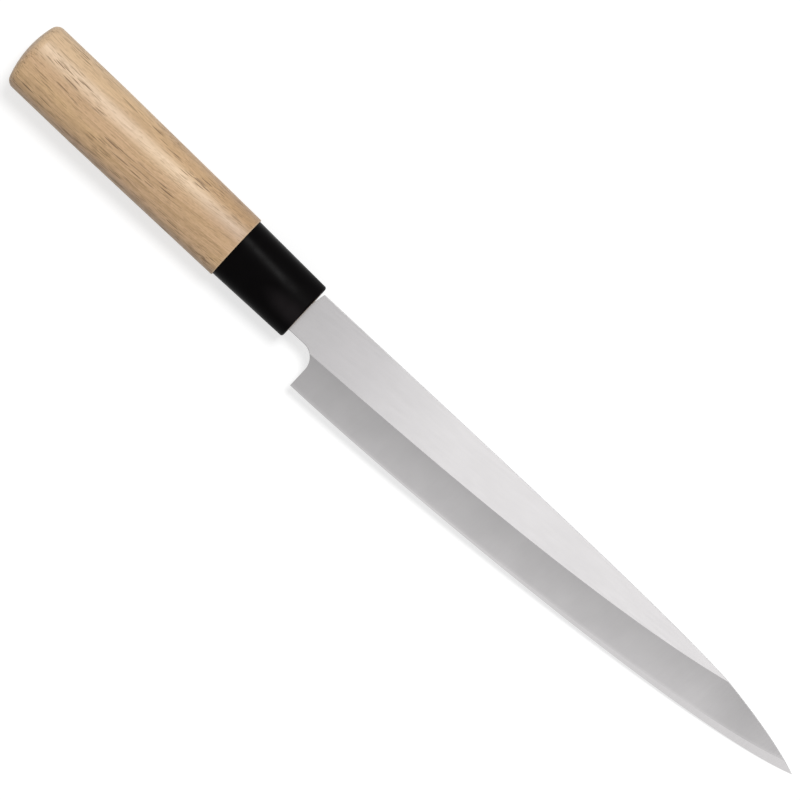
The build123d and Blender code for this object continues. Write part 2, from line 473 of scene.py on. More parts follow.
    def _front(self, x: Points, y: Points) -> Points:
        """Z of the front: the least of the flat, the wide bevel and the narrow one.

        Both bevels are straight across: the narrow one from the edge's thickness to the strip
        line, and the wide one from there to the flat at the bevel line. The tang has no bevel.

        Args:
            x: X of each station, of shape (stations, 1).
            y: Y of each point, of shape (stations, points).

        Returns:
            Z, of the same shape as y.
        """
        edge, strip, strip_z, bevel = self._lines(x)
        flat, ground = self.flat_z(x), self.flat_z(np.clip(x, 0, None))
        wide = strip_z + (ground - strip_z) * (y - strip) / (bevel - strip)
        rise = strip_z - self.edge_thickness
        narrow = self.edge_thickness + rise * (y - edge) / (strip - edge)
        return np.minimum(flat, np.where(x < 0, flat, np.minimum(wide, narrow)))

    def _shares(self, x: Points, y: Points) -> Points:
        """0 at the edge, 1 at the strip line, 2 at the bevel line and 3 at the straight spine.

        Args:
            x: X of each station, of shape (stations, 1).
            y: Y of each point, of shape (stations, points).

        Returns:
            The shares, of the same shape as y.
        """
        edge, strip, _, bevel = self._lines(x)
        least = 0.1
        limits = ((edge, strip), (strip, bevel), (bevel, np.maximum(self.spine_rise, bevel + least)))
        return sum(np.clip((y - low) / (high - low), 0, 1) for low, high in limits)

    def _back(
        self, x: Points, outline: tuple[Points, Points], inside: tuple[Points, Points]
    ) -> tuple[Points, Points]:
        """Y and Z across the back, with its hollow.

        The hollow's half width w grows from the heel as a quarter ellipse, follows the outline
        inside the rims and closes as another. Across it is an arc: a point is sunk by w squared
        less v squared, over twice the wheel's radius, where v is the way from the middle.

        Args:
            x: X of each station, of shape (stations, 1).
            outline: lowest and highest Y of each station, of the same shape.
            inside: the same between the rounded corners.

        Returns:
            Y and Z, each of shape (stations, columns).
        """
        columns = self._columns(x)
        fade_start = self.tip - self.hollow_tip_gap - self.hollow_run_out
        grown = np.clip(1 - (x - self.hollow_start) / self.hollow_run_in, 0, 1)
        closed = np.clip((x - fade_start) / self.hollow_run_out, 0, 1)
        half = np.clip((outline[1] - outline[0]) / 2 - self.hollow_rim, 0, None)
        half = half * np.sqrt(1 - grown**2) * np.sqrt(1 - closed**2)
        middle = (outline[0] + outline[1]) / 2
        first, last, (low, high) = middle - half, middle + half, inside
        rim = np.linspace(0, 1, self.rim_columns + 1)
        wide = np.linspace(0, math.pi, columns.shape[1] - 2 * self.rim_columns)
        spread = np.concatenate([
            low + (first - low) * rim[:-1],
            first + (last - first) * (1 - np.cos(wide)) / 2,
            last + (high - last) * rim[1:],
        ], axis=1)
        blend = smooth_ramp(x, self.neck_length, self.hollow_start)
        y = np.clip(columns, low, high) * (1 - blend) + spread * blend
        sunk = np.clip(half**2 - (y - middle) ** 2, 0, None) / (2 * self.hollow_radius)
        return y, self.back_z(x) + sunk

    def skin(self) -> Skin:
        """Carries the cross-section along the blade, from the tang's end to the tip.

        Each ring runs up the front from the edge, round the spine, down the back and up the
        lower side. What the outline cuts off collapses on to it. A rounded corner is a quarter
        circle, and takes no more than a quarter of the blade's height.

        Returns:
            The blade's skin, with a Face for each of its faces.
        """
        x, low, high = self._stations()
        columns, back = self._columns(x), self.back_z(x)
        room, most = self._front(x, high) - back, (high - low) / 4
        spine = np.minimum(self.spine_radius, np.minimum(self.spine_room * room, most))
        rear = np.minimum(self.back_radius, np.minimum(self.back_room * room, most))
        fade = np.clip((self.neck_length - x) / self.neck_fade, 0, 1)
        neck = self.neck_radius * np.sqrt(fade)
        front_y = np.clip(columns, low + neck, high - spine)
        front_z = self._front(x, front_y)
        back_y, back_z = self._back(x, (low, high), (low + neck, high - rear))
        turn = np.linspace(0, math.pi / 2, self.corner_columns + 1)[None]
        on, off = turn[:, 1:], turn[:, :-1]
        top_z, low_z = front_z[:, -1:], front_z[:, :1]
        parts = [
            (front_y, front_z),
            (high - spine * (1 - np.sin(on)), top_z - spine * (1 - np.cos(on))),
            (high, (top_z - spine + back + rear) / 2),
            (high - rear * (1 - np.cos(off)), back + rear * (1 - np.sin(off))),
            (back_y[:, ::-1], back_z[:, ::-1]),
            (low + neck * (1 - np.sin(on)), back + neck * (1 - np.cos(on))),
            (low, (low_z + back) / 2),
            (low + neck * (1 - np.cos(off)), low_z - neck * (1 - np.sin(off))),
        ]
        y, z = (np.concatenate(part, axis=1) for part in zip(*parts))
        back_at = sum(part[0].shape[1] for part in parts[:4])
        faces = self._finishes(y.shape[1], columns.shape[1], back_at, x[:, 0])
        rings = np.stack([np.broadcast_to(x, y.shape), y, z], axis=-1)
        return Skin(rings, faces, self._shares(x, y))

    def _finishes(self, around: int, columns: int, back_at: int, x: Points) -> Points:
        """The finish of each cell between two stations and two neighbouring points of a ring.

        Args:
            around: points in a ring.
            columns: points across the front, and across the back.
            back_at: place in the ring of the back's first point.
            x: X of each station.

        Returns:
            Face values of shape (stations - 1, points in a ring).
        """
        faces = np.full((len(x) - 1, around), Face.SIDE.value)
        bevel_at, back_end = self.strip_columns, back_at + columns - 1
        flat_at = bevel_at + self.bevel_columns
        faces[:, :bevel_at] = Face.STRIP.value
        faces[:, bevel_at:flat_at] = Face.BEVEL.value
        faces[:, flat_at : columns - 1] = Face.FLAT.value
        faces[:, back_at:back_end] = Face.BACK.value
        begun = x[:-1] >= self.hollow_start - NEAR
        ended = x[1:] > self.tip - self.hollow_tip_gap + NEAR
        inner = np.arange(back_at + self.rim_columns, back_end - self.rim_columns)
        faces[np.flatnonzero(begun & ~ended)[:, None], inner] = Face.HOLLOW.value
        return faces


@dataclass(frozen=True)
class Section:
    """The grip's cross-section at one place: an oval drawn up to a soft ridge on its front.

    Attributes:
        height, depth: from side to side, and from the middle to the corner of the ridge.
        ridge: how far that corner lies above the middle.
        back_share: the back's depth, of the front's.
        flank_share, round_share: where the sides turn in to the ridge, of the depth, and where
            each side of the ridge starts to round.
        back_width, back_side: how far the flat of the back and the straight sides reach.
    """

    height: float
    depth: float
    ridge: float
    back_share: float = 0.87
    flank_share: float = 0.6
    round_share: float = 0.58
    back_width: float = 0.74
    back_side: float = 0.66

    def outline(self, samples: int) -> Points:
        """Five Bezier curves on end: three over the ridge and two round the back.

        Args:
            samples: points on each curve.

        Returns:
            Points (Y, Z) about the section's middle, of shape (5 * samples, 2).
        """
        half, rear = self.height / 2, self.depth * self.back_share
        top, bottom, foot = (half, 0), (-half, 0), (0, -rear)
        crown = np.array([self.ridge, self.depth])
        upper = np.array([half, self.depth * self.flank_share])
        lower = upper * (-1, 1)
        upper_turn = upper + (crown - upper) * self.round_share
        lower_turn = lower + (crown - lower) * self.round_share
        flat, side = half * self.back_width, rear * self.back_side
        curves = [
            [top, upper, upper_turn],
            [upper_turn, crown, lower_turn],
            [lower_turn, lower, bottom],
            [bottom, (-half, -side), (-flat, -rear), foot],
            [foot, (flat, -rear), (half, -side), top],
        ]
        t = np.linspace(0, 1, samples, endpoint=False)
        return np.concatenate([bezier(np.array(curve, float), t) for curve in curves])


@dataclass
class GripLines:
    """What collar and wood share: the sections, the bore and the middle line.

    Attributes:
        ferrule_length, handle_length: of the collar, and from its front face to the butt.
        axis_depth: Z of the centre line.
        butt_offset: how far the section's middle lies above the centre line at the butt.
        front_ridge, butt_ridge: the ridge above the section's middle, at both ends.
        bore_height, bore_depth: half sizes of the bore's oval.
        samples: points on each curve of a section.
    """

    ferrule_length: float = 31.0
    handle_length: float = 126.3
    axis_depth: float = 1.4
    butt_offset: float = 1.4
    front_ridge: float = 2.6
    butt_ridge: float = 3.2
    bore_height: float = 8.9
    bore_depth: float = 6.961
    samples: int = 30

    def middle(self, x: Points) -> Points:
        """Y of the section's middle at X."""
        return -self.butt_offset * x / self.handle_length

    def section(self, x: float, height: float, depth: float) -> Points:
        """The outline at X, about its middle."""
        ridge = self.front_ridge - (self.butt_ridge - self.front_ridge) * x / self.handle_length
        return Section(height, depth, ridge).outline(self.samples)

    def bore(self, angles: Points, less: float) -> Points:
        """The bore's oval, as seen from the axis.

        Args:
            angles: angle of each point from Y towards Z.
            less: how much smaller the oval is all round.

        Returns:
            Points (Y, Z) about the axis, of shape (len(angles), 2).
        """
        height, depth = self.bore_height - less, self.bore_depth - less
        reach = height * depth / np.hypot(depth * np.cos(angles), height * np.sin(angles))
        return np.stack([reach * np.cos(angles), reach * np.sin(angles)], axis=-1)

    def ring(self, x: Points, outline: Points, middle: Points | float) -> Points:
        """Puts outlines (Y, Z) at X, about a middle line.

        Args:
            x: X of each station, of shape (stations, 1) or (stations, points).
            outline: points of shape (stations, points, 2).
            middle: Y of the middle, broadcast like x.

        Returns:
            Points of shape (stations, points, 3).
        """
        y, z = outline[..., 0] + middle, outline[..., 1] + self.axis_depth
        return np.stack([np.broadcast_to(x, z.shape), y, z], axis=-1)


def inset(outline: Points, less: Points) -> Points:
    """Draws outlines of shape (stations, points, 2) in towards their middle, each by its less."""
    reach = np.linalg.norm(outline, axis=-1, keepdims=True)
    return outline * (1 - less[:, None, None] / reach)


@dataclass
class FerruleShape:
    """The polished collar, with its rounded front rim.

    Attributes:
        lines: what it shares with the wood.
        front_height, back_height: of its section at both ends.
        front_depth, back_depth: the same from the axis to the ridge's corner.
        front_ridge: the ridge above the middle, at the front rim.
        rim_radius, rim_end: the front rim's rounding, and where the smooth side starts.
        back_ease: how much the rear corner is broken.
        bore_rings, rim_rings, side_rings: stations in the bore, round the rim and outside.
    """

    lines: GripLines
    front_height: float = 21.8
    back_height: float = 23.15
    front_depth: float = 10.3
    back_depth: float = 10.8
    front_ridge: float = 0.5
    rim_radius: float = 0.8
    rim_end: float = 1.4
    back_ease: float = 0.12
    bore_rings: int = 6
    rim_rings: int = 9
    side_rings: int = 14

    def skin(self) -> Skin:
        """Carries the outline through the bore to the front, round the rim and back outside.

        The outline changes evenly from the front to the back. The rim is a quarter circle.

        Returns:
            The collar's skin, whose last ring is joined to its first.
        """
        lines, length = self.lines, self.lines.ferrule_length
        rim = Section(self.front_height, self.front_depth, self.front_ridge)
        front = rim.outline(lines.samples)
        back = lines.section(-length, self.back_height, self.back_depth)
        bore = lines.bore(np.arctan2(front[:, 1], front[:, 0]), 0)
        bore_x = np.linspace(-length, 0, self.bore_rings)[:, None]
        inside = lines.ring(bore_x, np.repeat(bore[None], self.bore_rings, axis=0), 0.0)
        turn = np.linspace(0, math.pi / 2, self.rim_rings)
        side_x = np.linspace(-self.rim_end, -length + self.back_ease, self.side_rings)
        x = np.concatenate([-self.rim_radius * (1 - np.cos(turn)), side_x, [-length]])
        rim_less = self.rim_radius * (1 - np.sin(turn))
        less = np.concatenate([rim_less, np.zeros(self.side_rings), [self.back_ease]])
        outline = front + (back - front) * (-x / length)[:, None, None]
        outside = lines.ring(x[:, None], inset(outline, less), lines.middle(x)[:, None])
        rings = np.concatenate([inside, outside])
        return Skin(rings, np.zeros(1, int), np.zeros(rings.shape[:2]), loop_stations=True)


@dataclass
class HandleShape:
    """The wooden grip with its tenon, its slot for the tang and its domed butt.

    Attributes:
        lines: what it shares with the collar.
        front_height, swell_height: of its section, at the collar and from the swell on.
        front_depth, swell_depth: the same from the axis to the ridge's corner.
        swell_share: where the swell lies, of the wood's length behind the collar.
        dome_radius, dome_rise: of the butt's dome, and its centre above the butt's middle.
        dome_lead: how far before the butt the section is taken that the dome cuts.
        butt_radius, arris_radius: the rounding of the butt's edge, and of that at the collar.
        tenon_gap: between the tenon and the collar's bore.
        slot_mouth, slot_end: lowest and highest Y, lowest and highest Z of the tang's slot.
        slot_depth: of the slot, behind the collar's front face.
        arris_rings, side_rings, edge_rings, dome_rings: stations round the arris, along the
            side, round the butt's edge and over the dome.
    """

    lines: GripLines
    front_height: float = 24.3
    swell_height: float = 25.75
    front_depth: float = 11.6
    swell_depth: float = 12.4
    swell_share: float = 0.66
    dome_radius: float = 36.0
    dome_rise: float = 0.9
    dome_lead: float = 3.0
    butt_radius: float = 3.2
    arris_radius: float = 0.35
    tenon_gap: float = 0.05
    slot_mouth: tuple = (-7.8, 4.0, -0.1, 2.9)
    slot_end: tuple = (-4.3, 1.9, 0.3, 2.5)
    slot_depth: float = 85.1
    arris_rings: int = 5
    side_rings: int = 40
    edge_rings: int = 10
    dome_rings: int = 14

    def _slot(self, corners: tuple, angles: Points) -> Points:
        """A rectangle (Y, Z) as seen from its middle at the given angles, with true corners.

        The reach to it is the least of each half size over the way's part in that direction.
        The angle nearest to each corner is turned to it.

        Args:
            corners: lowest and highest Y, lowest and highest Z.
            angles: angle of each point from Y towards Z.

        Returns:
            Points (Y, Z) about the axis, of shape (len(angles), 2).
        """
        low, high = np.array(corners[::2]), np.array(corners[1::2])
        middle, half = (low + high) / 2 - (0, self.lines.axis_depth), (high - low) / 2
        turned = angles.copy()
        for sign_y, sign_z in ((1, 1), (-1, 1), (-1, -1), (1, -1)):
            corner = math.atan2(sign_z * half[1], sign_y * half[0])
            nearest = np.argmin(np.abs(np.angle(np.exp(1j * (turned - corner)))))
            turned[nearest] = corner
        way = np.stack([np.cos(turned), np.sin(turned)], axis=-1)
        return middle + way * np.min(half / np.maximum(np.abs(way), TINY), axis=-1, keepdims=True)

    def _side(self, x: Points) -> Points:
        """The grip's outline, which changes evenly from the front to the swell and on to the butt.

        Args:
            x: X of each station of shape (stations, 1), or of each of its points.

        Returns:
            Points (Y, Z) about the section's middle, of shape (stations, points, 2).
        """
        lines, start, end = self.lines, -self.lines.ferrule_length, -self.lines.handle_length
        swell = start + (end - start) * self.swell_share
        outlines = np.stack([
            lines.section(end, self.swell_height, self.swell_depth),
            lines.section(swell, self.swell_height, self.swell_depth),
            lines.section(start, self.front_height, self.front_depth),
        ])
        place = np.interp(x, [end, swell, start], [0, 1, 2])
        before = np.clip(np.floor(place).astype(int), 0, 1)
        points = np.arange(outlines.shape[1])
        first, second = outlines[before, points], outlines[before + 1, points]
        return first + (second - first) * (place - before)[..., None]

    def underside(self, x: float) -> float:
        """How far the grip's underside lies below the blade's back at X."""
        return float(-self._side(np.array([[x]]))[..., 1].min()) - self.lines.axis_depth

    def _butt(self) -> Points:
        """The rounded edge and the dome, as a meridian for each point of the outline.

        The dome's centre stands beside the axis, so each meridian cuts the dome in a circle of
        radius D whose centre lies aside from the axis. The edge is an arc of radius r that
        touches the side, at R from the axis, and that circle: its centre lies at R - r from the
        axis, and at D - r from the circle's.

        Returns:
            Points from the side to the dome's middle, of shape (stations, points, 3).
        """
        lines = self.lines
        side = self._side(np.array([[self.dome_lead - lines.handle_length]]))[0]
        reach = np.linalg.norm(side, axis=-1)
        way = side / reach[:, None]
        centre = self.dome_radius - lines.handle_length
        aside = self.dome_rise * way[:, 0]
        circle = np.sqrt(self.dome_radius**2 - (self.dome_rise * way[:, 1]) ** 2)
        inner = reach - self.butt_radius
        axial = np.sqrt((circle - self.butt_radius) ** 2 - (inner - aside) ** 2)
        lean = np.arctan2(axial, inner - aside)
        turn = np.linspace(0, 1, self.edge_rings)[:, None] * lean
        outer, apex = math.pi / 2 - lean, -np.arcsin(aside / circle)
        off = apex + (outer - apex) * np.linspace(1, 0, self.dome_rings)[1:, None]
        out = np.concatenate([inner + self.butt_radius * np.cos(turn), aside + circle * np.sin(off)])
        edge_x = centre - axial - self.butt_radius * np.sin(turn)
        x = np.concatenate([edge_x, centre - circle * np.cos(off)])
        return lines.ring(x, way[None] * out[..., None], lines.middle(x))

    def skin(self) -> Skin:
        """Carries the outline from the slot's end out of its mouth and along tenon, grip and butt.

        Returns:
            The grip's skin. Its two ends are closed by the mesh's finish.
        """
        lines, start = self.lines, -self.lines.ferrule_length
        front = self._side(np.array([[start]]))[0]
        angles = np.arctan2(front[:, 1], front[:, 0])
        tenon = lines.bore(angles, self.tenon_gap)
        mouth, end = self._slot(self.slot_mouth, angles), self._slot(self.slot_end, angles)
        inner_x = np.array([-self.slot_depth, 0, 0, start])[:, None]
        inner = lines.ring(inner_x, np.stack([end, mouth, tenon, tenon]), 0.0)
        turn = np.linspace(0, math.pi / 2, self.arris_rings)
        arris_x = (start - self.arris_radius * (1 - np.cos(turn)))[:, None]
        outline = inset(self._side(arris_x), self.arris_radius * (1 - np.sin(turn)))
        arris = lines.ring(arris_x, outline, lines.middle(arris_x))
        butt = self._butt()
        share = np.linspace(0, 1, self.side_rings)[1:-1, None]
        side_x = arris_x[-1] + (butt[:1, :, 0] - arris_x[-1]) * share
        side = lines.ring(side_x, self._side(side_x), lines.middle(side_x))
        rings = np.concatenate([inner, arris, side, butt])
        return Skin(rings, np.zeros(1, int), np.zeros(rings.shape[:2]))


@dataclass
class Wiring:
    """Lays and joins nodes in one node tree."""

    tree: bpy.types.NodeTree

    @classmethod
    def of(cls, owner: bpy.types.ID) -> "Wiring":
        """Empties the node tree of a material or world.

        Args:
            owner: the material or world.

        Returns:
            The wiring of its tree.
        """
        owner.use_nodes = True
        owner.node_tree.nodes.clear()
        return Wiring(owner.node_tree)

    def feed(self, socket: Socket, value: object) -> None:
        """Joins another socket to an input, or sets the input's own value.

        Args:
            socket: the input.
            value: an output socket, or a value of the input's kind.
        """
        if isinstance(value, bpy.types.NodeSocket):
            self.tree.links.new(value, socket)
        else:
            socket.default_value = value

    def node(self, kind: str, inputs: dict | None = None, **settings: object) -> bpy.types.Node:
        """Adds a node, sets its properties and sets or joins its inputs.

        Args:
            kind: the node's type, without its ShaderNode prefix where it has one.
            inputs: a value or an output socket for each input, by name or number.
            settings: the node's own properties.

        Returns:
            The new node.
        """
        made = self.tree.nodes.new(kind if kind.startswith("NodeGroup") else "ShaderNode" + kind)
        for name, value in settings.items():
            setattr(made, name, value)
        for name, value in (inputs or {}).items():
            self.feed(made.inputs[name], value)
        return made

    def maths(self, operation: str, *values: object, clamp: bool = False) -> Socket:
        """The result of a Math node."""
        inputs = dict(enumerate(values))
        return self.node("Math", inputs, operation=operation, use_clamp=clamp).outputs[0]

    def product(self, *values: object) -> Socket:
        """The product of two or more values."""
        return reduce(lambda one, other: self.maths("MULTIPLY", one, other), values)

    def total(self, *values: object) -> Socket:
        """The sum of two or more values."""
        return reduce(lambda one, other: self.maths("ADD", one, other), values)

    def span(
        self, value: object, low: float, high: float, start: object, end: object, smooth: bool = True
    ) -> Socket:
        """Maps one pair of values to another, and holds it beyond them.

        Args:
            value: what is mapped.
            low, high: what it is mapped from.
            start, end: what it is mapped to.
            smooth: whether it eases in and out.

        Returns:
            The mapped value.
        """
        inputs = {"Value": value, "From Min": low, "From Max": high, "To Min": start, "To Max": end}
        kind = "SMOOTHSTEP" if smooth else "LINEAR"
        return self.node("MapRange", inputs, interpolation_type=kind).outputs[0]

    def mix(self, share: object, first: object, second: object, blend: str = "MIX") -> Socket:
        """Mixes two colours.

        Args:
            share: how much of the second colour there is.
            first, second: a colour or an output socket.
            blend: the kind of mix.

        Returns:
            The mixed colour.
        """
        made = self.node("Mix", {0: share}, data_type="RGBA", blend_type=blend)
        for index, value in ((6, first), (7, second)):
            self.feed(made.inputs[index], (*value, 1.0) if isinstance(value, tuple) else value)
        return made.outputs[2]

    def parts(self, vector: Socket) -> Outputs:
        """The three parts of a vector."""
        return self.node("SeparateXYZ", {0: vector}).outputs

    def vector(
        self, source: object, scale: Triple = (1, 1, 1), shift: Triple = (0, 0, 0), turn: object = (0, 0, 0)
    ) -> Socket:
        """Scales, turns and shifts a vector."""
        inputs = {"Vector": source, "Location": shift, "Rotation": turn, "Scale": scale}
        return self.node("Mapping", inputs).outputs[0]

    def noise(self, vector: object, detail: float = 2.0, rough: float = 0.5) -> Socket:
        """Noise of scale 1 at a vector, from 0 to 1."""
        inputs = {"Vector": vector, "Scale": 1.0, "Detail": detail, "Roughness": rough}
        return self.node("TexNoise", inputs).outputs[0]

    def group(self, tree: bpy.types.NodeTree, inputs: dict) -> Socket:
        """Places a node group.

        Args:
            tree: the group.
            inputs: a value or an output socket for each of its inputs.

        Returns:
            The group's only output.
        """
        made = self.tree.nodes.new("ShaderNodeGroup")
        made.node_tree = tree
        for name, value in inputs.items():
            self.feed(made.inputs[name], value)
        return made.outputs[0]


@dataclass
class GroupWiring(Wiring):
    """A node group in the making: a vector and some floats in, one float out.

    Attributes:
        start: the outputs of its input node, by name.
        end: the input of its output node.
    """

    start: Outputs
    end: Socket

    @classmethod
    def new(cls, name: str, result: str, turns: bool, **floats: float) -> "GroupWiring":
        """Starts a shader node group.

        Args:
            name: the group's name.
            result: the name of what comes out.
            turns: whether a turn goes in too, as a vector.
            floats: name and default value of each number that goes in.

        Returns:
            The group's wiring.
        """
        tree = bpy.data.node_groups.new(name, "ShaderNodeTree")
        for label in ("Vector", "Turn") if turns else ("Vector",):
            tree.interface.new_socket(label, in_out="INPUT", socket_type="NodeSocketVector")
        for label, value in floats.items():
            socket = tree.interface.new_socket(label, in_out="INPUT", socket_type="NodeSocketFloat")
            socket.default_value = value
        tree.interface.new_socket(result, in_out="OUTPUT", socket_type="NodeSocketFloat")
        w = Wiring(tree)
        return cls(tree, w.node("NodeGroupInput").outputs, w.node("NodeGroupOutput").inputs[0])

    def close(self, value: Socket) -> bpy.types.NodeTree:
        """Joins a value to the group's output."""
        self.tree.links.new(value, self.end)
        return self.tree


@dataclass(frozen=True)
class Layer:
    """A noise drawn out one way, and the strengths that it is mapped to.

    Attributes:
        scale: its cells per millimetre in X, Y and Z.
        shift: moves it, so that no two layers are alike.
        detail, rough: its octaves, and the strength of the finer ones.
        span: its values that give the two strengths.
        strengths: what it is mapped to.
    """

    scale: Triple
    shift: Triple = (0.0, 0.0, 0.0)
    detail: float = 2.0
    rough: float = 0.5
    span: Span = (0.0, 1.0)
    strengths: Span = (0.0, 1.0)

    def noise(self, w: Wiring, place: Socket) -> Socket:
        """The plain noise at a place."""
        return w.noise(w.vector(place, self.scale, self.shift), self.detail, self.rough)

    def lay(self, w: Wiring, place: Socket) -> Socket:
        """The noise at a place, mapped smoothly to its strengths."""
        return w.span(self.noise(w, place), *self.span, *self.strengths)


@dataclass
class Effects:
    """The effects that several finishes use, each built once as a node group.

    Attributes:
        fine, coarse: the two sizes of grinding line, along, across and through the face.
        grain: the clouds' grain.
        cloud_span: the noise's values that are taken as no cloud and full cloud.
        streak_sizes: smallest and largest streak, as shares of the size asked for.
        streak_edge: where a streak is at its full strength, as a share of its size.
        streak_faintest: strength of the faintest streak.
    """

    fine: Layer = Layer((0.16, 9.0, 1.0), detail=3.0, rough=0.6)
    coarse: Layer = Layer((0.06, 1.6, 0.4), (3.0, 7.0, 1.0), detail=3.0, rough=0.6)
    grain: Layer = Layer((2.2, 2.2, 2.2), detail=3.0, rough=0.6)
    cloud_span: Span = (0.25, 0.75)
    streak_sizes: Span = (0.55, 1.35)
    streak_edge: float = 0.62
    streak_faintest: float = 0.5

    def __post_init__(self) -> None:
        """Builds the groups."""
        self.lines = self._grind_lines()
        self.clouds = self._clouds()
        self.streaks = self._streaks()

    def _grind_lines(self) -> bpy.types.NodeTree:
        """Fine lines that a belt or stone leaves: two stretched noises, one finer than the other.

        Returns:
            A group that gives the lines' height from 0 to 1, as the two noises' weighted mean.
        """
        w = GroupWiring.new("grind_lines", "Height", True, Fine=1.0, Coarse=0.5)
        place = w.vector(w.start["Vector"], turn=w.start["Turn"])
        fine = w.product(self.fine.noise(w, place), w.start["Fine"])
        coarse = w.product(self.coarse.noise(w, place), w.start["Coarse"])
        weight = w.total(w.start["Fine"], w.start["Coarse"])
        return w.close(w.maths("DIVIDE", w.total(fine, coarse), weight))

    def _clouds(self) -> bpy.types.NodeTree:
        """Soft patches with a little grain.

        Returns:
            A group that gives the patches from 0 to 1.
        """
        w = GroupWiring.new("clouds", "Value", False, Size=10.0, Grain=0.2)
        inputs = {0: w.start["Vector"], "Scale": w.maths("DIVIDE", 1.0, w.start["Size"])}
        broad = w.noise(w.node("VectorMath", inputs, operation="SCALE").outputs[0])
        grain = self.grain.noise(w, w.start["Vector"])
        both = w.node("Mix", {0: w.start["Grain"], 2: broad, 3: grain}).outputs[0]
        return w.close(w.span(both, *self.cloud_span, 0.0, 1.0))

    def _streaks(self) -> bpy.types.NodeTree:
        """Short streaks along X: cells drawn out lengthwise, of which a share is kept.

        A streak is dark where the distance from its cell's centre is less than its own size, and
        only cells whose random value is above 1 less the share have one.

        Returns:
            A group that gives 0 between the streaks and up to 1 in them.
        """
        w = GroupWiring.new("streaks", "Mask", False, Length=7.0, Width=0.6, Share=0.3, Size=0.3)
        sizes = (w.start["Length"], w.start["Width"], w.start["Width"])
        place = enumerate(zip(w.parts(w.start["Vector"]), sizes))
        scaled = {axis: w.maths("DIVIDE", part, size) for axis, (part, size) in place}
        cells = w.node("CombineXYZ", scaled).outputs[0]
        found = w.node("TexVoronoi", {"Vector": cells, "Scale": 1.0, "Randomness": 1.0})
        random = w.node("SeparateColor", {0: found.outputs["Color"]}).outputs
        kept = w.maths("GREATER_THAN", random[0], w.maths("SUBTRACT", 1.0, w.start["Share"]))
        size = w.product(w.start["Size"], w.span(random[1], 0, 1, *self.streak_sizes))
        full = w.product(size, self.streak_edge)
        inside = w.span(found.outputs["Distance"], size, full, 0.0, 1.0, smooth=False)
        strength = w.span(random[2], 0, 1, self.streak_faintest, 1.0)
        return w.close(w.product(inside, kept, strength))


@dataclass
class Dressing(Wiring):
    """A material in the making, with its shader and the place in the knife's own axes.

    Attributes:
        material: the material.
        shader: its Principled shader.
        own: the vector in the knife's own axes, in millimetres.
        effects: the shared node groups.
    """

    material: bpy.types.Material
    shader: bpy.types.Node
    own: Socket
    effects: Effects

    @classmethod
    def start(cls, name: str, placing: Placing, effects: Effects) -> "Dressing":
        """Starts a material that reads the knife's own axes.

        Args:
            name: the material's name.
            placing: how the knife lies in the frame, which a Mapping node undoes.
            effects: the shared node groups.

        Returns:
            The dressing, with its shader joined to the output.
        """
        material = bpy.data.materials.new(name)
        w = Wiring.of(material)
        shader = w.node("BsdfPrincipled")
        w.node("OutputMaterial", {"Surface": shader.outputs[0]})
        inputs = {
            "Vector": w.node("TexCoord").outputs["Object"],
            "Location": placing.origin,
            "Rotation": (0, placing.tilt, 0),
            "Scale": (MM, MM, MM),
        }
        own = w.node("Mapping", inputs, vector_type="TEXTURE").outputs[0]
        return cls(w.tree, material, shader, own, effects)

    def lines(self, turn: float, fine: float, coarse: float) -> Socket:
        """Grinding lines at a turn in degrees to the knife's length, of two weighted sizes."""
        inputs = {"Vector": self.own, "Turn": (0, 0, math.radians(-turn)), "Fine": fine, "Coarse": coarse}
        return self.group(self.effects.lines, inputs)

    def clouds(self, size: float, grain: float) -> Socket:
        """Soft patches of a size in millimetres, with a share of grain."""
        return self.group(self.effects.clouds, {"Vector": self.own, "Size": size, "Grain": grain})

    def finish(self, colour: Socket, rough: Socket, height: Socket, strength: float, depth: float) -> None:
        """Joins colour, roughness and a bump to the shader.

        Args:
            colour: the base colour.
            rough: the roughness.
            height: the bump's height.
            strength: the bump's strength.
            depth: the bump's depth in millimetres.
        """
        inputs = {"Height": height, "Strength": strength, "Distance": depth * MM}
        bump = self.node("Bump", inputs).outputs[0]
        for name, value in (("Base Color", colour), ("Roughness", rough), ("Normal", bump)):
            self.feed(self.shader.inputs[name], value)


